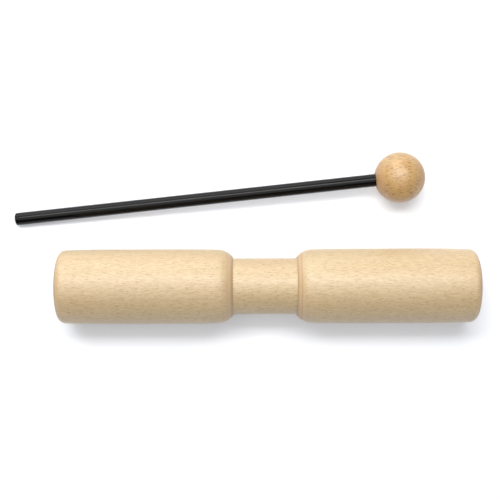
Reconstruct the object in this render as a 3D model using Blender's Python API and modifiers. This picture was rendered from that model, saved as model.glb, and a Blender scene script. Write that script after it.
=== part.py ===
"""Two-tone wood block with its ball mallet, as the two lie on a table.

Two turned beech tubes, one for each tone, are glued over the ends of a plain round grip.
Each tube is open at its outer end, and a saw slot runs along its underside into the sound chamber.
The mallet is a black rod glued into a beech ball, and it lies loose behind the block.

Metres, +Z up. +X runs along the block towards the low tone, +Y points from the block to the mallet.
The origin is on the table, at the middle of the space that block and mallet take up together.
"""

import cmath
import math

import bmesh
import bpy
from mathutils import Matrix, Vector

# Block: the tubes
TUBE_DIAMETER = 0.0358
HIGH_TUBE_LENGTH = 0.0835
LOW_TUBE_LENGTH = 0.0860
CHAMBER_WALL = 0.0054
HIGH_CHAMBER_DEPTH = 0.0500
LOW_CHAMBER_DEPTH = 0.0640
END_ROUND = 0.0034
MOUTH_CHAMFER = 0.0005
SHOULDER_LENGTH = 0.0072
SHOULDER_LIP = 0.0003
SANDED_DROP = 0.0005
SANDED_LENGTH = 0.0250

# Block: the saw slots, whose cut through the wall stops short of the chamber's floor
SLOT_WIDTH = 0.0032
SLOT_STOP = 0.0110
SAW_RADIUS = 0.0400
SAW_OVERCUT = 0.0015

# Block: the grip
GRIP_DIAMETER = 0.0268
GRIP_SPAN = 0.0305
GRIP_CHAMFER = 0.0010
GLUE_GAP = 0.0003

# Mallet
BALL_DIAMETER = 0.0248
BALL_HOLE_DEPTH = 0.0140
DRILL_POINT_DEG = 118
ROD_DIAMETER = 0.0062
ROD_LENGTH = 0.1930
ROD_END_ROUND = 0.0008

# How the mallet lies: the ball's place along the block, its clearance from it, and its turn in plan
BALL_ALONG = 0.0655
BALL_CLEARANCE = 0.0236
MALLET_YAW_DEG = 5.6

# Facets of the round shapes
TUBE_FACETS = 64
GRIP_FACETS = 48
ROD_FACETS = 32
BALL_FACETS = 48
BALL_STEPS = 22
SHOULDER_STEPS = 8
END_STEPS = 6
SANDED_STEPS = 4
SAW_ARC_STEPS = 10
SHARP_EDGE_DEG = 35

# How far a cutter starts outside the wood
CUT_PAST = 0.0020

TUBE_RADIUS = TUBE_DIAMETER / 2
BALL_RADIUS = BALL_DIAMETER / 2
ROD_RADIUS = ROD_DIAMETER / 2
BLOCK_LENGTH = HIGH_TUBE_LENGTH + GRIP_SPAN + LOW_TUBE_LENGTH
CHAMBER_RADIUS = TUBE_RADIUS - CHAMBER_WALL
SOCKET_RADIUS = GRIP_DIAMETER / 2 + GLUE_GAP
HALF_FACET = math.pi / TUBE_FACETS

COLLECTION_NAME = "two_tone_wood_block"


def clear_scene():
    for piece in list(bpy.data.objects):
        bpy.data.objects.remove(piece)


def new_collection(name):
    collection = bpy.data.collections.new(name)
    bpy.context.scene.collection.children.link(collection)
    return collection


def new_material(name, colour, roughness):
    material = bpy.data.materials.new(name)
    material.use_nodes = True
    shader = material.node_tree.nodes["Principled BSDF"]
    shader.inputs["Base Color"].default_value = (*colour, 1)
    shader.inputs["Roughness"].default_value = roughness
    shader.inputs["Metallic"].default_value = 0
    return material


def add_axis(name, collection, location, rotation):
    """An empty that carries the pieces turned about one axis, its local Z."""
    axis = bpy.data.objects.new(name, None)
    axis.location = location
    axis.rotation_euler = rotation
    collection.objects.link(axis)
    return axis


def add_object(name, mesh, collection, parent, location=(0, 0, 0), rotation=(0, 0, 0)):
    piece = bpy.data.objects.new(name, mesh)
    piece.parent = parent
    piece.location = location
    piece.rotation_euler = rotation
    collection.objects.link(piece)
    return piece


def mesh_from(name, shape):
    mesh = bpy.data.meshes.new(name)
    shape.to_mesh(mesh)
    shape.free()
    return mesh


def cut(piece, cutter):
    """Takes the cutter's volume out of the piece and keeps the cutter out of renders."""
    cutter.hide_render = True
    cutter.display_type = "WIRE"
    boolean = piece.modifiers.new(cutter.name, "BOOLEAN")
    boolean.operation = "DIFFERENCE"
    boolean.solver = "EXACT"
    boolean.object = cutter


def bevel(piece, width, segments):
    edges = piece.modifiers.new("end rounding", "BEVEL")
    edges.limit_method = "ANGLE"
    edges.angle_limit = math.radians(60)
    edges.width = width
    edges.segments = segments


def finish(piece, material):
    """Applies the piece's modifiers and shades it smooth, with its real edges kept crisp."""
    view = bpy.context.evaluated_depsgraph_get()
    mesh = bpy.data.meshes.new_from_object(piece.evaluated_get(view))
    mesh.shade_smooth()
    mesh.set_sharp_from_angle(angle=math.radians(SHARP_EDGE_DEG))
    mesh.materials.clear()
    mesh.materials.append(material)
    piece.modifiers.clear()
    piece.data = mesh


def rod_mesh(name, diameter, length, facets):
    """A plain round bar along local Z, from the origin up."""
    shape = bmesh.new()
    bmesh.ops.create_cone(
        shape,
        cap_ends=True,
        segments=facets,
        radius1=diameter / 2,
        radius2=diameter / 2,
        depth=length,
        matrix=Matrix.Translation((0, 0, length / 2)),
    )
    return mesh_from(name, shape)


def sanded_radius(distance):
    """The tube's outer radius at a distance from an end: sanding lowers it a little towards the end."""
    share = max(0, 1 - distance / SANDED_LENGTH)
    return TUBE_RADIUS - SANDED_DROP * share**2


def sanded_heading(distance):
    """That surface's direction towards the end, as change of radius + change of distance in j."""
    share = max(0, 1 - distance / SANDED_LENGTH)
    return complex(-2 * SANDED_DROP * share / SANDED_LENGTH, -1)


def tangent_arc(start, heading, end, steps):
    """Points on the arc that leaves start along heading and reaches end, without start itself."""
    chord = end - start
    half_turn = cmath.phase(chord / heading)
    points = []
    for step in range(1, steps + 1):
        part = half_turn * step / steps
        reached = chord * math.sin(part) / math.sin(half_turn)
        points.append(start + reached * cmath.exp(1j * (part - half_turn)))
    return points


def end_surface(rounding, end_radius, steps):
    """The outer surface from where the sanding starts to one end, as radius + distance to that end in j."""
    reach = [
        SANDED_LENGTH + (rounding - SANDED_LENGTH) * step / SANDED_STEPS
        for step in range(SANDED_STEPS + 1)
    ]
    surface = [complex(sanded_radius(distance), distance) for distance in reach]
    return surface + tangent_arc(surface[-1], sanded_heading(rounding), complex(end_radius, 0), steps)


def tube_outline(length, chamber_depth):
    """(radius, height) of a tube's wall: its open mouth is at height 0 and its shoulder at the top."""
    shoulder = end_surface(SHOULDER_LENGTH, SOCKET_RADIUS + SHOULDER_LIP, SHOULDER_STEPS)
    mouth = end_surface(END_ROUND, sanded_radius(END_ROUND) - END_ROUND, END_STEPS)
    outline = [(point.real, length - point.imag) for point in reversed(shoulder)]
    outline += [(point.real, point.imag) for point in mouth]
    outline += [
        (CHAMBER_RADIUS + MOUTH_CHAMFER, 0),
        (CHAMBER_RADIUS, MOUTH_CHAMFER),
        (CHAMBER_RADIUS, chamber_depth),
        (SOCKET_RADIUS, chamber_depth),
        (SOCKET_RADIUS, length),
    ]
    return outline


def ball_outline():
    """(radius, height) from the ball's top pole down its outside, and up the drilled hole to its point."""
    hole_radius = ROD_RADIUS + GLUE_GAP
    rim_angle = math.pi - math.asin(hole_radius / BALL_RADIUS)
    outline = []
    for step in range(BALL_STEPS + 1):
        angle = rim_angle * step / BALL_STEPS
        outline.append((BALL_RADIUS * math.sin(angle), BALL_RADIUS * math.cos(angle)))
    hole_end = BALL_HOLE_DEPTH - BALL_RADIUS
    point_height = hole_radius / math.tan(math.radians(DRILL_POINT_DEG / 2))
    outline += [(hole_radius, hole_end), (0, hole_end + point_height)]
    return outline


def outline_mesh(name, outline, closed):
    """An outline of (radius, height) points, which runs down its outer side."""
    mesh = bpy.data.meshes.new(name)
    points = [(radius, 0, height) for radius, height in outline]
    edges = [(i, i + 1) for i in range(len(points) - 1)]
    if closed:
        edges.append((len(points) - 1, 0))
    mesh.from_pydata(points, edges, [])
    return mesh


def turn(piece, facets):
    """Turns the piece's outline once round its local Z."""
    screw = piece.modifiers.new("turning", "SCREW")
    screw.steps = facets
    screw.render_steps = facets
    screw.use_merge_vertices = True
    screw.merge_threshold = 0.00001


def slot_cutter(name, collection, axis, mouth, inward, chamber_depth):
    """The path of the saw blade, from outside a tube's mouth to where the blade stops.

    The blade turns about an axis square to the block, below it. It reaches just through the wall,
    so the slot ends in the blade's own arc. In the axis empty's frame +X points down.
    """
    blade_centre = CHAMBER_RADIUS - SAW_OVERCUT + SAW_RADIUS
    deepest = blade_centre - SAW_RADIUS
    outside = TUBE_RADIUS + CUT_PAST
    reach_inside = math.sqrt(SAW_RADIUS**2 - (blade_centre - CHAMBER_RADIUS) ** 2)
    stop = chamber_depth - SLOT_STOP - reach_inside
    last_angle = math.acos((blade_centre - outside) / SAW_RADIUS)
    outline = [(outside, -CUT_PAST), (deepest, -CUT_PAST)]
    for step in range(SAW_ARC_STEPS + 1):
        angle = last_angle * step / SAW_ARC_STEPS
        down = blade_centre - SAW_RADIUS * math.cos(angle)
        outline.append((down, stop + SAW_RADIUS * math.sin(angle)))

    shape = bmesh.new()
    near_side = -SLOT_WIDTH / 2
    corners = [shape.verts.new((down, near_side, mouth + inward * along)) for down, along in outline]
    side = shape.faces.new(corners)
    grown = bmesh.ops.extrude_face_region(shape, geom=[side])["geom"]
    moved = [part for part in grown if isinstance(part, bmesh.types.BMVert)]
    bmesh.ops.translate(shape, verts=moved, vec=(0, SLOT_WIDTH, 0))
    bmesh.ops.recalc_face_normals(shape, faces=shape.faces)
    return add_object(name, mesh_from(name, shape), collection, axis)


def build_tube(name, parts, cutters, axis, mouth, inward, length, chamber_depth, wood):
    """A sound tube, its mouth at a place on the block's axis and its body running inward from there."""
    flip = 0 if inward > 0 else math.pi
    mesh = outline_mesh(name, tube_outline(length, chamber_depth), closed=True)
    tube = add_object(name, mesh, parts, axis, (0, 0, mouth), (flip, 0, HALF_FACET))
    turn(tube, TUBE_FACETS)
    cut(tube, slot_cutter(name + "_slot", cutters, axis, mouth, inward, chamber_depth))
    finish(tube, wood)


def build_grip(parts, axis, wood):
    """The dowel that fills both sockets and stops at the floor of each sound chamber."""
    first_end = HIGH_CHAMBER_DEPTH + GLUE_GAP - BLOCK_LENGTH / 2
    last_end = BLOCK_LENGTH / 2 - LOW_CHAMBER_DEPTH - GLUE_GAP
    mesh = rod_mesh("grip_dowel", GRIP_DIAMETER, last_end - first_end, GRIP_FACETS)
    grip = add_object("grip_dowel", mesh, parts, axis, (0, 0, first_end))
    bevel(grip, GRIP_CHAMFER, 1)
    finish(grip, wood)


def build_mallet_head(parts, axis, wood):
    """The ball, centred on its axis empty, with the drilled hole that takes the rod from below."""
    head = add_object("mallet_head", outline_mesh("mallet_head", ball_outline(), closed=False), parts, axis)
    turn(head, BALL_FACETS)
    finish(head, wood)


def build_mallet_rod(parts, axis, lacquer):
    """The rod, from its seat in the ball down to its free end."""
    top = -BALL_RADIUS + BALL_HOLE_DEPTH - GLUE_GAP
    mesh = rod_mesh("mallet_rod", ROD_DIAMETER, ROD_LENGTH, ROD_FACETS)
    rod = add_object("mallet_rod", mesh, parts, axis, (0, 0, top - ROD_LENGTH))
    bevel(rod, ROD_END_ROUND, 3)
    finish(rod, lacquer)


def mallet_pose():
    """The ball's centre and the unit vector from the rod's free end to it, with the block's centre at 0.

    Ball and free end both touch the table, so the rod slopes down from the ball to its end.
    """
    centre = Vector((BALL_ALONG, TUBE_RADIUS + BALL_CLEARANCE + BALL_RADIUS, BALL_RADIUS))
    reach = ROD_LENGTH + BALL_RADIUS - BALL_HOLE_DEPTH + GLUE_GAP
    rise = (BALL_RADIUS - ROD_RADIUS) / reach
    level = math.sqrt(1 - rise**2)
    yaw = math.radians(MALLET_YAW_DEG)
    towards_ball = Vector((level * math.cos(yaw), level * math.sin(yaw), rise))
    return centre, towards_ball, reach


def main():
    clear_scene()
    parts = new_collection(COLLECTION_NAME)
    cutters = new_collection("cutters")
    beech = new_material("pale_beech", (0.88, 0.71, 0.46), 0.50)
    warm_beech = new_material("warm_beech", (0.70, 0.45, 0.22), 0.45)
    lacquer = new_material("black_rod", (0.010, 0.010, 0.011), 0.30)

    centre, towards_ball, reach = mallet_pose()
    free_end = centre - towards_ball * reach
    left = min(-BLOCK_LENGTH / 2, free_end.x)
    right = max(BLOCK_LENGTH / 2, centre.x + BALL_RADIUS)
    front = -TUBE_RADIUS
    back = centre.y + BALL_RADIUS
    middle = Vector(((left + right) / 2, (front + back) / 2, 0))

    # The tubes stand on a flat facet, so the axis is that facet's distance above the table.
    axis_height = TUBE_RADIUS * math.cos(HALF_FACET)
    block = add_axis("block", parts, Vector((0, 0, axis_height)) - middle, (0, math.pi / 2, 0))
    lie = towards_ball.to_track_quat("Z", "Y").to_euler()
    mallet = add_axis("mallet", parts, centre - middle, lie)

    half = BLOCK_LENGTH / 2
    high = (-half, 1, HIGH_TUBE_LENGTH, HIGH_CHAMBER_DEPTH)
    low = (half, -1, LOW_TUBE_LENGTH, LOW_CHAMBER_DEPTH)
    build_tube("high_tone_tube", parts, cutters, block, *high, beech)
    build_tube("low_tone_tube", parts, cutters, block, *low, beech)
    build_grip(parts, block, beech)
    build_mallet_head(parts, mallet, warm_beech)
    build_mallet_rod(parts, mallet, lacquer)


main()
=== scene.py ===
import cmath
import math

import bmesh
import bpy
from mathutils import Matrix, Vector


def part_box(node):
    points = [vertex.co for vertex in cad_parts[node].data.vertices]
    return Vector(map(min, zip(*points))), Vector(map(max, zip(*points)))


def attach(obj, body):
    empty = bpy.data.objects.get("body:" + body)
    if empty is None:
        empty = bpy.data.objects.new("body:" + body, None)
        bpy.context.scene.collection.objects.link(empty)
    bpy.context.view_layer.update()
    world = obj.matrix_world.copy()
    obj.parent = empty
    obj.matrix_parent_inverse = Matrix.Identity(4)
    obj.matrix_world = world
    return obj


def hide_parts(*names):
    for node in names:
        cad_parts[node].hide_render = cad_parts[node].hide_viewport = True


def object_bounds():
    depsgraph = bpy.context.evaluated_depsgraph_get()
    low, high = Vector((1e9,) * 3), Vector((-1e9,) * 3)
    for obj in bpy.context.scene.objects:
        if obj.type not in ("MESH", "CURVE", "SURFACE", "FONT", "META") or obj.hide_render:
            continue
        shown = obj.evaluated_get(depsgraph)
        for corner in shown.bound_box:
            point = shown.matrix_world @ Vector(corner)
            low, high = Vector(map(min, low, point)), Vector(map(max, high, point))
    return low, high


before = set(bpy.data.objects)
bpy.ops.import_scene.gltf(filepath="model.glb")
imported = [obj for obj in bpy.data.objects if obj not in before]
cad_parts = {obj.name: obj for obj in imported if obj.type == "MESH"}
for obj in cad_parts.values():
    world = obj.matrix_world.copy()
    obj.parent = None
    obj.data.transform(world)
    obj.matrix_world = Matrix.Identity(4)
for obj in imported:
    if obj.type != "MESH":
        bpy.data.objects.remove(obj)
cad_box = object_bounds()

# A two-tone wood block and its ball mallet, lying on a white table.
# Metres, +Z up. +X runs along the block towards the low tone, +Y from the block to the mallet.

# The two sound tubes: steamed beech, turned round and sanded on the lathe, bored from the mouth,
# counterbored from the shoulder for the grip, and sawn open along the underside.
# Each is glued over one end of the grip.
CHAMBER_WALL = 0.0054
HIGH_CHAMBER_DEPTH = 0.0500
LOW_CHAMBER_DEPTH = 0.0640
END_ROUND = 0.0034
MOUTH_CHAMFER = 0.0005
SHOULDER_LENGTH = 0.0072
SHOULDER_LIP = 0.0003
SANDED_DROP = 0.0005
SANDED_LENGTH = 0.0250
GLUE_GAP = 0.0003
SLOT_WIDTH = 0.0032
SLOT_STOP = 0.0110
SAW_RADIUS = 0.0400
SAW_OVERCUT = 0.0015
SLOT_EDGE = 0.00025
TUBE_FACETS = 144
WALL_STEP = 0.0040

high_low, high_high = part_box("high_tone_tube")
low_low, low_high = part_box("low_tone_tube")
grip_low, grip_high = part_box("grip_dowel")
tube_radius = (high_high.z - high_low.z) / 2
axis_y = (high_low.y + high_high.y) / 2
axis_z = (high_low.z + high_high.z) / 2
chamber_radius = tube_radius - CHAMBER_WALL
grip_radius = (grip_high.z - grip_low.z) / 2
socket_radius = grip_radius + GLUE_GAP


class Value:
    """One number of a shader. Python sums on it lay the Math nodes that work it out."""

    def __init__(self, finish, socket):
        self.finish = finish
        self.socket = socket

    def __add__(self, other):
        return self.finish.maths("ADD", self, other)

    def __sub__(self, other):
        return self.finish.maths("SUBTRACT", self, other)

    def __rsub__(self, other):
        return self.finish.maths("SUBTRACT", other, self)

    def __mul__(self, other):
        return self.finish.maths("MULTIPLY", self, other)

    def __truediv__(self, other):
        return self.finish.maths("DIVIDE", self, other)

    def __pow__(self, other):
        return self.finish.maths("POWER", self, other)

    __radd__ = __add__
    __rmul__ = __mul__


class Finish:
    """One material, or the room. Its nodes all come from node(), and its last one is a shader."""

    def __init__(self, name, kind=bpy.data.materials):
        self.block = kind.new(name)
        self.block.use_nodes = True
        self.tree = self.block.node_tree
        self.tree.nodes.clear()

    def node(self, kind, settings, sockets, output=0):
        """A node with its settings made first, then the values or links of its sockets."""
        node = self.tree.nodes.new("ShaderNode" + kind)
        for name, setting in settings.items():
            setattr(node, name, setting)
        for key, source in sockets.items():
            if isinstance(source, Value):
                self.tree.links.new(source.socket, node.inputs[key])
            else:
                node.inputs[key].default_value = source
        return Value(self, node.outputs[output]) if node.outputs else node

    def maths(self, operation, *values):
        return self.node("Math", {"operation": operation}, dict(enumerate(values)))

    def vector(self, operation, *values):
        return self.node("VectorMath", {"operation": operation}, dict(enumerate(values)))

    def mix(self, share, first, second):
        """A colour between two: sockets 6 and 7 are the Mix node's colours, and output 2 its result."""
        colours = [colour if isinstance(colour, Value) else (*colour, 1) for colour in (first, second)]
        return self.node("Mix", {"data_type": "RGBA"}, {0: share, 6: colours[0], 7: colours[1]}, 2)

    def fade(self, value, start, end):
        """0 where value is at start and 1 where it is at end, smooth in between."""
        limits = {"Value": value, "From Min": start, "From Max": end}
        return self.node("MapRange", {"interpolation_type": "SMOOTHSTEP"}, limits)

    def noise(self, place, size, detail, output=0):
        """Noise whose features are about as long as size along X, Y and Z."""
        scaled = self.vector("MULTIPLY", place, tuple(1 / length for length in size))
        return self.node("TexNoise", {}, {"Vector": scaled, "Scale": 1, "Detail": detail}, output)

    def end_with(self, shader, output="OutputMaterial"):
        """Closes the material or the room and hands it back."""
        self.node(output, {}, {"Surface": shader})
        return self.block


PALE = {
    "early": (0.590, 0.454, 0.259),
    "late": (0.540, 0.396, 0.212),
    "blush": (0.590, 0.441, 0.251),
    "ray": (0.290, 0.165, 0.068),
    "end": (0.585, 0.400, 0.220),
    "ray_share": 0.54,
    "ring_share": 0.20,
    "roughness": 0.47,
    "end_from": 0.42,
    "end_dark": 0.45,
}
RING_WIDTH = 0.0026
RAY_SPACING = (0.0029, 0.00056, 0.0120)
SHORT_RAY_SPACING = (0.0018, 0.00036, 0.0060)
FIBRE = (0.0038, 0.00027, 0.00027)
WANDER = (0.0380, 0.0160, 0.0160)
WANDER_REACH = 0.0022
LATHE_MARK = 0.00035


def beech(name, tones, heart, plank_start):
    """Beech as a solid: fibres along local X, rings round the tree's heart and rays standing out from it.

    heart is the heart's (y, z) from the piece's own axis, and plank_start where it lay in the plank.
    """
    wood = Finish(name)
    here = wood.node("TexCoord", {}, {}, "Object")
    plank = wood.vector("ADD", here, (plank_start, -heart[0], -heart[1]))
    sway = wood.vector("SUBTRACT", wood.noise(plank, WANDER, 2, "Color"), (0.5, 0.5, 0.5))
    grown = wood.vector("ADD", plank, wood.vector("MULTIPLY", sway, (0, WANDER_REACH, WANDER_REACH)))
    along = wood.node("SeparateXYZ", {}, {0: grown}, "X")
    out_y = wood.node("SeparateXYZ", {}, {0: grown}, "Y")
    out_z = wood.node("SeparateXYZ", {}, {0: grown}, "Z")
    radius = (out_y * out_y + out_z * out_z) ** 0.5
    heart_distance = math.hypot(*heart)
    round_heart = wood.maths("ARCTAN2", out_y, out_z) * heart_distance
    log_place = wood.node("CombineXYZ", {}, {"X": along, "Y": round_heart, "Z": radius})

    def rays(spacing, tip, core):
        """Lens-shaped rays: 1 in their middle and 0 between them, each one as strong as chance gives it."""
        scaled = wood.vector("MULTIPLY", log_place, tuple(1 / length for length in spacing))
        settings = {"feature": "F1", "distance": "EUCLIDEAN"}
        lens = wood.node("TexVoronoi", settings, {"Vector": scaled, "Scale": 1})
        chance = wood.node("TexVoronoi", settings, {"Vector": scaled, "Scale": 1}, "Color")
        strength = wood.node("SeparateXYZ", {}, {0: chance}, "X")
        return wood.fade(lens, tip, core) * (0.40 + 0.60 * strength)

    ray = wood.maths("MAXIMUM", rays(RAY_SPACING, 0.42, 0.14), 0.6 * rays(SHORT_RAY_SPACING, 0.40, 0.12))
    fibre = wood.noise(plank, FIBRE, 3)
    patch = wood.fade(wood.noise(plank, (0.0600, 0.0100, 0.0100), 2), 0.35, 0.65)
    ring_place = radius / RING_WIDTH + 1.2 * wood.noise(plank, (0.0500, 0.0200, 0.0200), 1)
    ring = wood.maths("FRACT", ring_place) ** 3

    facing = wood.node("SeparateXYZ", {}, {0: wood.node("TexCoord", {}, {}, "Normal")}, "X")
    tilt = wood.maths("ABSOLUTE", facing)
    end_grain = wood.fade(tilt, tones["end_from"], tones["end_from"] + 0.13)
    own_y = wood.node("SeparateXYZ", {}, {0: here}, "Y")
    own_z = wood.node("SeparateXYZ", {}, {0: here}, "Z")
    own_x = wood.node("SeparateXYZ", {}, {0: here}, "X")
    lathe_place = (own_x + (own_y * own_y + own_z * own_z) ** 0.5) / LATHE_MARK
    lathe = wood.node("TexNoise", {"noise_dimensions": "1D"}, {"W": lathe_place, "Scale": 1, "Detail": 1})
    lathe_line = end_grain * (lathe - 0.5)

    body = wood.mix(patch, tones["early"], tones["blush"])
    body = wood.mix(ring * tones["ring_share"], body, tones["late"])
    body = wood.mix(wood.fade(fibre, 0.38, 0.68) * 0.36, body, tones["ray"])
    body = wood.mix(ray * tones["ray_share"], body, tones["ray"])
    body = wood.mix(end_grain * 0.70, body, tones["end"])
    body = wood.mix(wood.fade(tilt, 0.64, 0.80) * tones["end_dark"], body, tones["ray"])
    body = wood.mix(wood.fade(lathe_line, 0.0, 0.25) * 0.35, body, tones["ray"])
    relief = 0.4 * fibre - 0.5 * ray + 0.8 * lathe_line
    normal = wood.node("Bump", {}, {"Strength": 0.45, "Distance": 0.00012, "Height": relief})
    shader = wood.node(
        "BsdfPrincipled",
        {},
        {
            "Base Color": body,
            "Roughness": tones["roughness"] + 0.12 * (fibre - 0.5) - 0.06 * ray + 0.12 * end_grain,
            "Normal": normal,
            "IOR": 1.5,
            "Specular IOR Level": 0.60,
            "Coat Weight": 0.50,
            "Coat Roughness": 0.45,
        },
    )
    return wood.end_with(shader)


def sanded_radius(distance):
    """The tube's outer radius at a distance from an end, which sanding lowers a little."""
    share = max(0, 1 - distance / SANDED_LENGTH)
    return tube_radius - SANDED_DROP * share**2


def tangent_arc(start, heading, end, steps):
    """Points on the arc that leaves start along heading and reaches end, without start itself."""
    chord = end - start
    half_turn = cmath.phase(chord / heading)
    points = []
    for step in range(1, steps + 1):
        part = half_turn * step / steps
        reached = chord * math.sin(part) / math.sin(half_turn)
        points.append(start + reached * cmath.exp(1j * (part - half_turn)))
    return points


def end_surface(rounding, end_radius, steps):
    """The outer surface from where the sanding starts to one end, as radius + distance to that end in j."""
    rings = round((SANDED_LENGTH - rounding) / WALL_STEP) * 2
    reach = [SANDED_LENGTH + (rounding - SANDED_LENGTH) * ring / rings for ring in range(rings + 1)]
    surface = [complex(sanded_radius(distance), distance) for distance in reach]
    share = 1 - rounding / SANDED_LENGTH
    heading = complex(-2 * SANDED_DROP * share / SANDED_LENGTH, -1)
    return surface + tangent_arc(surface[-1], heading, complex(end_radius, 0), steps)


def wall_points(radius, start, end):
    """Points along a straight bore or wall, without its two ends."""
    rings = max(1, round(abs(end - start) / WALL_STEP))
    return [(radius, start + (end - start) * ring / rings) for ring in range(1, rings)]


def tube_outline(length, chamber_depth):
    """(radius, distance from the mouth) round a tube's wall, running down its outer side to the mouth."""
    shoulder = end_surface(SHOULDER_LENGTH, socket_radius + SHOULDER_LIP, 16)
    mouth = end_surface(END_ROUND, sanded_radius(END_ROUND) - END_ROUND, 12)
    outline = [(point.real, length - point.imag) for point in reversed(shoulder)]
    outline += wall_points(tube_radius, length - SANDED_LENGTH, SANDED_LENGTH)
    outline += [(point.real, point.imag) for point in mouth]
    outline += [(chamber_radius + MOUTH_CHAMFER, 0), (chamber_radius, MOUTH_CHAMFER)]
    outline += wall_points(chamber_radius, MOUTH_CHAMFER, chamber_depth)
    outline += [(chamber_radius, chamber_depth), (socket_radius, chamber_depth)]
    outline += wall_points(socket_radius, chamber_depth, length)
    return outline + [(socket_radius, length)]


def turned(name, outline, facets, closed):
    """An object turned about local X from an outline of (radius, place along X) points."""
    shape = bmesh.new()
    points = [shape.verts.new((along, 0, radius)) for radius, along in outline]
    pairs = list(zip(points, points[1:])) + ([(points[-1], points[0])] if closed else [])
    lines = [shape.edges.new(pair) for pair in pairs]
    turn = {"cent": (0, 0, 0), "axis": (1, 0, 0), "angle": 2 * math.pi, "steps": facets}
    bmesh.ops.spin(shape, geom=points + lines, use_merge=True, **turn)
    bmesh.ops.remove_doubles(shape, verts=shape.verts, dist=0.000001)
    bmesh.ops.rotate(shape, verts=shape.verts, matrix=Matrix.Rotation(math.pi / facets, 3, "X"))
    bmesh.ops.recalc_face_normals(shape, faces=shape.faces)
    mesh = bpy.data.meshes.new(name)
    shape.to_mesh(mesh)
    shape.free()
    piece = bpy.data.objects.new(name, mesh)
    bpy.context.scene.collection.objects.link(piece)
    return piece


def finish_surface(piece, material, sharp_degrees=32):
    """Shades the piece smooth between its real edges and gives it its material."""
    piece.data.shade_smooth()
    piece.data.set_sharp_from_angle(angle=math.radians(sharp_degrees))
    piece.data.materials.clear()
    piece.data.materials.append(material)


def saw_slot(tube, chamber_depth):
    """Cuts the slot along the underside, which ends in the blade's own arc, and breaks its long edges."""
    blade_centre = chamber_radius - SAW_OVERCUT + SAW_RADIUS
    outside = tube_radius + 0.0020
    reach_inside = math.sqrt(SAW_RADIUS**2 - (blade_centre - chamber_radius) ** 2)
    stop = chamber_depth - SLOT_STOP - reach_inside
    last_angle = math.acos((blade_centre - outside) / SAW_RADIUS)
    outline = [(-0.0020, -outside), (-0.0020, SAW_RADIUS - blade_centre)]
    for step in range(25):
        angle = last_angle * step / 24
        outline.append((stop + SAW_RADIUS * math.sin(angle), SAW_RADIUS * math.cos(angle) - blade_centre))
    shape = bmesh.new()
    side = shape.faces.new([shape.verts.new((along, -SLOT_WIDTH / 2, up)) for along, up in outline])
    grown = bmesh.ops.extrude_face_region(shape, geom=[side])["geom"]
    moved = [part for part in grown if isinstance(part, bmesh.types.BMVert)]
    bmesh.ops.translate(shape, verts=moved, vec=(0, SLOT_WIDTH, 0))
    bmesh.ops.recalc_face_normals(shape, faces=shape.faces)
    blade_mesh = bpy.data.meshes.new("saw_blade")
    shape.to_mesh(blade_mesh)
    shape.free()
    blade = bpy.data.objects.new("saw_blade", blade_mesh)
    bpy.context.scene.collection.objects.link(blade)
    boolean = tube.modifiers.new("saw slot", "BOOLEAN")
    boolean.operation = "DIFFERENCE"
    boolean.solver = "EXACT"
    boolean.object = blade
    view = bpy.context.evaluated_depsgraph_get()
    sawn = bpy.data.meshes.new_from_object(tube.evaluated_get(view))
    tube.modifiers.clear()
    bpy.data.objects.remove(blade)

    shape = bmesh.new()
    shape.from_mesh(sawn)
    flank = SLOT_WIDTH / 2
    edges = []
    for edge in shape.edges:
        on_flank = all(abs(abs(corner.co.y) - flank) < 0.00001 and corner.co.z < 0 for corner in edge.verts)
        if on_flank and edge.is_manifold and edge.calc_face_angle() > math.radians(50):
            edges.append(edge)
    bmesh.ops.bevel(shape, geom=edges, offset=SLOT_EDGE, segments=2, profile=0.5, affect="EDGES")
    shape.to_mesh(sawn)
    shape.free()
    tube.data = sawn


def sound_tube(name, mouth_x, inward, length, chamber_depth, plank_start):
    """One tube, its mouth at mouth_x on the block's axis and its body running inward from there."""
    tube = turned(name, tube_outline(length, chamber_depth), TUBE_FACETS, closed=True)
    saw_slot(tube, chamber_depth)
    finish_surface(tube, beech(name + "_beech", PALE, (0.004, -0.062), plank_start))
    tube.matrix_world = Matrix.Translation((mouth_x, axis_y, axis_z)) @ Matrix.Rotation(
        0 if inward > 0 else math.pi, 4, "Z"
    )
    return tube


high_tube = sound_tube("high_sound_tube", high_low.x, 1, high_high.x - high_low.x, HIGH_CHAMBER_DEPTH, 0.30)
low_tube = sound_tube("low_sound_tube", low_high.x, -1, low_high.x - low_low.x, LOW_CHAMBER_DEPTH, 0.95)
for tube, node in ((high_tube, "high_tone_tube"), (low_tube, "low_tone_tube")):
    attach(tube, "block")
    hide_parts(node)

# The grip: a plain round beech dowel, whose ends fill the sockets of both tubes
# and so are the floors of the two sound chambers. Its edges are broken with a small chamfer.
GRIP_CHAMFER = 0.0010
GRIP_FACETS = 112
GRIP_TONES = {**PALE, "ray_share": 0.58, "late": (0.540, 0.395, 0.212)}

grip_length = grip_high.x - grip_low.x
grip_outline = [(0, grip_length)]
grip_outline += [(grip_radius - GRIP_CHAMFER, grip_length), (grip_radius, grip_length - GRIP_CHAMFER)]
grip_outline += wall_points(grip_radius, grip_length - GRIP_CHAMFER, GRIP_CHAMFER)
grip_outline += [(grip_radius, GRIP_CHAMFER), (grip_radius - GRIP_CHAMFER, 0), (0, 0)]
grip = turned("round_grip", grip_outline, GRIP_FACETS, closed=False)
finish_surface(grip, beech("grip_beech", GRIP_TONES, (-0.010, -0.048), 1.70))
grip.location = (grip_low.x, axis_y, axis_z)
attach(grip, "block")
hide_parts("grip_dowel")

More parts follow.
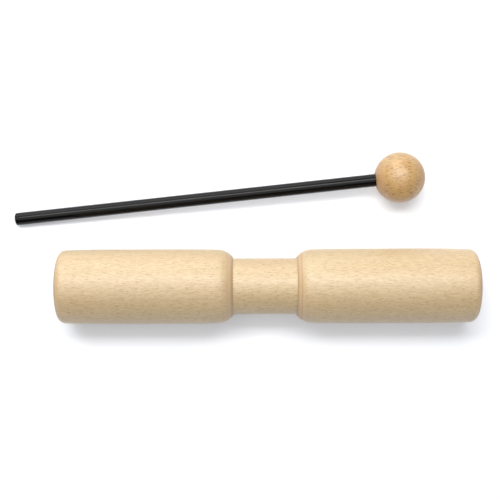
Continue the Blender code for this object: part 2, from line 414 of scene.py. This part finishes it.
# The mallet head: a turned beech ball, redder than the block, with a blind hole drilled into its
# end grain. The rod is glued into the hole.
BALL_HOLE_DEPTH = 0.0140
HOLE_EDGE = 0.00015
DRILL_POINT = math.radians(118)
ROD_RADIUS = 0.0031
ROD_LENGTH = 0.1930
MALLET_TURN = math.radians(5.6)
BALL_STEPS = 64
BALL_FACETS = 128
BALL_TONES = {
    "early": (0.580, 0.375, 0.155),
    "late": (0.510, 0.288, 0.110),
    "blush": (0.587, 0.362, 0.146),
    "ray": (0.150, 0.057, 0.017),
    "end": (0.500, 0.282, 0.115),
    "ray_share": 0.88,
    "ring_share": 0.40,
    "roughness": 0.42,
    "end_from": 0.62,
    "end_dark": 0.0,
}

ball_low, ball_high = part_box("mallet_head")
ball_radius = (ball_high.y - ball_low.y) / 2
ball_centre = Vector((ball_high.x, (ball_low.y + ball_high.y) / 2, (ball_low.z + ball_high.z) / 2))
ball_centre.x -= ball_radius
rod_reach = ROD_LENGTH + ball_radius - BALL_HOLE_DEPTH + GLUE_GAP
rise = (ball_radius - ROD_RADIUS) / rod_reach
level = math.sqrt(1 - rise**2)
towards_ball = Vector((level * math.cos(MALLET_TURN), level * math.sin(MALLET_TURN), rise))
mallet_place = Matrix.Translation(ball_centre) @ towards_ball.to_track_quat("X", "Z").to_matrix().to_4x4()

hole_radius = ROD_RADIUS + GLUE_GAP
rim_angle = math.pi - math.asin((hole_radius + HOLE_EDGE) / ball_radius)
ball_outline = []
for step in range(BALL_STEPS + 1):
    angle = rim_angle * step / BALL_STEPS
    ball_outline.append((ball_radius * math.sin(angle), ball_radius * math.cos(angle)))
rim = ball_outline[-1][1]
hole_end = BALL_HOLE_DEPTH - ball_radius
ball_outline += [(hole_radius, rim + HOLE_EDGE), (hole_radius, hole_end)]
ball_outline += [(0, hole_end + hole_radius / math.tan(DRILL_POINT / 2))]
ball = turned("beech_ball", ball_outline, BALL_FACETS, closed=False)
finish_surface(ball, beech("ball_beech", BALL_TONES, (0.002, -0.040), 2.60))
ball.matrix_world = mallet_place
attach(ball, "mallet")
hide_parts("mallet_head")

# The mallet rod: a slim round bar under satin black lacquer, with its free end rounded over.
# Fine lengthwise streaks of the bar show through the lacquer.
ROD_END_ROUND = 0.0008
ROD_FACETS = 64


def black_lacquer():
    """Near-black lacquer, brushed along the rod, over faint streaks."""
    coat = Finish("black_lacquer")
    here = coat.node("TexCoord", {}, {}, "Object")
    streak = coat.noise(here, (0.0400, 0.0005, 0.0005), 3)
    speck = coat.noise(here, (0.0012, 0.0007, 0.0007), 2)
    colour = coat.mix(coat.fade(streak, 0.35, 0.70), (0.0014, 0.0013, 0.0011), (0.0030, 0.0027, 0.0023))
    relief = 0.7 * streak + 0.3 * speck
    normal = coat.node("Bump", {}, {"Strength": 0.25, "Distance": 0.00006, "Height": relief})
    shader = coat.node(
        "BsdfPrincipled",
        {},
        {
            "Base Color": colour,
            "Roughness": 0.20 + 0.12 * (streak - 0.5) + 0.08 * (speck - 0.5),
            "Normal": normal,
            "IOR": 1.5,
            "Specular IOR Level": 0.18,
        },
    )
    return coat.end_with(shader)


seat = BALL_HOLE_DEPTH - ball_radius - GLUE_GAP
tip = seat - ROD_LENGTH
rod_outline = [(0, seat), (ROD_RADIUS, seat)]
rod_outline += wall_points(ROD_RADIUS, seat, tip + ROD_END_ROUND)
for step in range(9):
    angle = math.pi / 2 * step / 8
    radius = ROD_RADIUS - ROD_END_ROUND * (1 - math.cos(angle))
    rod_outline.append((radius, tip + ROD_END_ROUND * (1 - math.sin(angle))))
rod_outline.append((0, tip))
rod = turned("black_rod_bar", rod_outline, ROD_FACETS, closed=False)
finish_surface(rod, black_lacquer(), 60)
rod.matrix_world = mallet_place
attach(rod, "mallet")
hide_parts("mallet_rod")

# The table: one sheet of white board, flat under the object and swept up all round it.
# Seen by the camera or in a reflection it is white. It keeps the shadow, and glows further out.
TABLE_RADIUS = 1.60
SWEEP_RADIUS = 0.60
SWEEP_ANGLE = math.radians(60)
BOARD_COLOUR = (0.750, 0.760, 0.780)
BOARD_LIFT = (0.195, 0.203, 0.223)
GLOW_START = 0.20
GLOW_FULL = 0.36

table_outline = [(0, 0)]
for step in range(13):
    angle = SWEEP_ANGLE * step / 12
    out = TABLE_RADIUS + SWEEP_RADIUS * math.sin(angle)
    table_outline.append((out, SWEEP_RADIUS * (1 - math.cos(angle))))
board = bmesh.new()
edge_points = [board.verts.new((out, 0, up)) for out, up in table_outline]
edge_lines = [board.edges.new(pair) for pair in zip(edge_points, edge_points[1:])]
sweep = {"cent": (0, 0, 0), "axis": (0, 0, 1), "angle": 2 * math.pi, "steps": 96}
bmesh.ops.spin(board, geom=edge_points + edge_lines, use_merge=True, **sweep)
bmesh.ops.remove_doubles(board, verts=board.verts, dist=0.000001)
bmesh.ops.recalc_face_normals(board, faces=board.faces)
board_mesh = bpy.data.meshes.new("white_table")
board.to_mesh(board_mesh)
board.free()
board_mesh.shade_smooth()
table = bpy.data.objects.new("white_table", board_mesh)
table.location.z = cad_box[0].z
bpy.context.scene.collection.objects.link(table)

paint = Finish("white_board")
seen = paint.node("LightPath", {}, {}, "Is Camera Ray")
for ray_kind in ("Is Glossy Ray", "Is Transmission Ray"):
    seen = paint.maths("MAXIMUM", seen, paint.node("LightPath", {}, {}, ray_kind))
matt = paint.node("BsdfDiffuse", {}, {"Color": (*BOARD_COLOUR, 1)})
lift = paint.node("Emission", {}, {"Color": (*BOARD_LIFT, 1), "Strength": 1})
lifted = paint.node("AddShader", {}, {0: matt, 1: lift})
glow = paint.node("Emission", {}, {"Color": (1, 1, 1, 1), "Strength": 1})
here = paint.node("TexCoord", {}, {}, "Object")
out = paint.node("VectorMath", {"operation": "LENGTH"}, {0: here}, "Value")
far = paint.fade(out, GLOW_START, GLOW_FULL)
shown = paint.node("MixShader", {}, {0: far, 1: lifted, 2: glow})
table.data.materials.append(paint.end_with(paint.node("MixShader", {}, {0: seen, 1: matt, 2: shown})))

# The studio: a long strip lamp above and behind the block, a wide low lamp behind it, a wide one
# overhead, and a dim room. The camera looks down from just in front of the block.
STRIP_PLACE = Vector((-0.020, 0.165, 0.550))
STRIP_AIM = Vector((-0.020, -0.024, 0))
STRIP_SIZE = (0.66, 0.15)
STRIP_STRENGTH = 2.78
LOW_LAMP_TO = (-0.30, 0.85, 0.42)
LOW_LAMP_STRENGTH = 2.00
LOW_LAMP_SPREAD = math.radians(50)
OVERHEAD_LAMP_TO = (-0.10, -0.14, 1)
OVERHEAD_LAMP_STRENGTH = 1.42
OVERHEAD_LAMP_SPREAD = math.radians(60)
ROOM_LIGHT = 0.03
CAMERA_PLACE = Vector((0.00403, -0.06470, 0.48900))
CAMERA_TILT = math.radians(7.02)
CAMERA_ROLL = math.radians(-0.206)
CAMERA_LENS = 70.85


def add_lamp(name, kind, towards, strength):
    """A lamp that shines from the direction towards."""
    light = bpy.data.lights.new(name, kind)
    light.energy = strength
    lamp = bpy.data.objects.new(name, light)
    lamp.rotation_mode = "QUATERNION"
    lamp.rotation_quaternion = Vector(towards).to_track_quat("Z", "Y")
    bpy.context.scene.collection.objects.link(lamp)
    return lamp


strip = add_lamp("strip_lamp", "AREA", STRIP_PLACE - STRIP_AIM, STRIP_STRENGTH)
strip.location = STRIP_PLACE
strip.data.shape = "RECTANGLE"
strip.data.size, strip.data.size_y = STRIP_SIZE
low_lamp = add_lamp("low_wide_lamp", "SUN", LOW_LAMP_TO, LOW_LAMP_STRENGTH)
low_lamp.data.angle = LOW_LAMP_SPREAD
overhead_lamp = add_lamp("overhead_lamp", "SUN", OVERHEAD_LAMP_TO, OVERHEAD_LAMP_STRENGTH)
overhead_lamp.data.angle = OVERHEAD_LAMP_SPREAD

room = Finish("studio_room", bpy.data.worlds)
seen = room.node("LightPath", {}, {}, "Is Camera Ray")
dim = room.node("Background", {}, {"Color": (1, 1, 1, 1), "Strength": ROOM_LIGHT})
white = room.node("Background", {}, {"Color": (1, 1, 1, 1), "Strength": 1})
room_shader = room.node("MixShader", {}, {0: seen, 1: dim, 2: white})
bpy.context.scene.world = room.end_with(room_shader, "OutputWorld")
bpy.context.scene.view_settings.view_transform = "Standard"

camera_data = bpy.data.cameras.new("camera")
camera_data.lens = CAMERA_LENS
camera_data.sensor_width = 36
camera = bpy.data.objects.new("camera", camera_data)
camera.location = CAMERA_PLACE
camera.rotation_euler = (CAMERA_TILT, 0, CAMERA_ROLL)
bpy.context.scene.collection.objects.link(camera)
bpy.context.scene.camera = camera
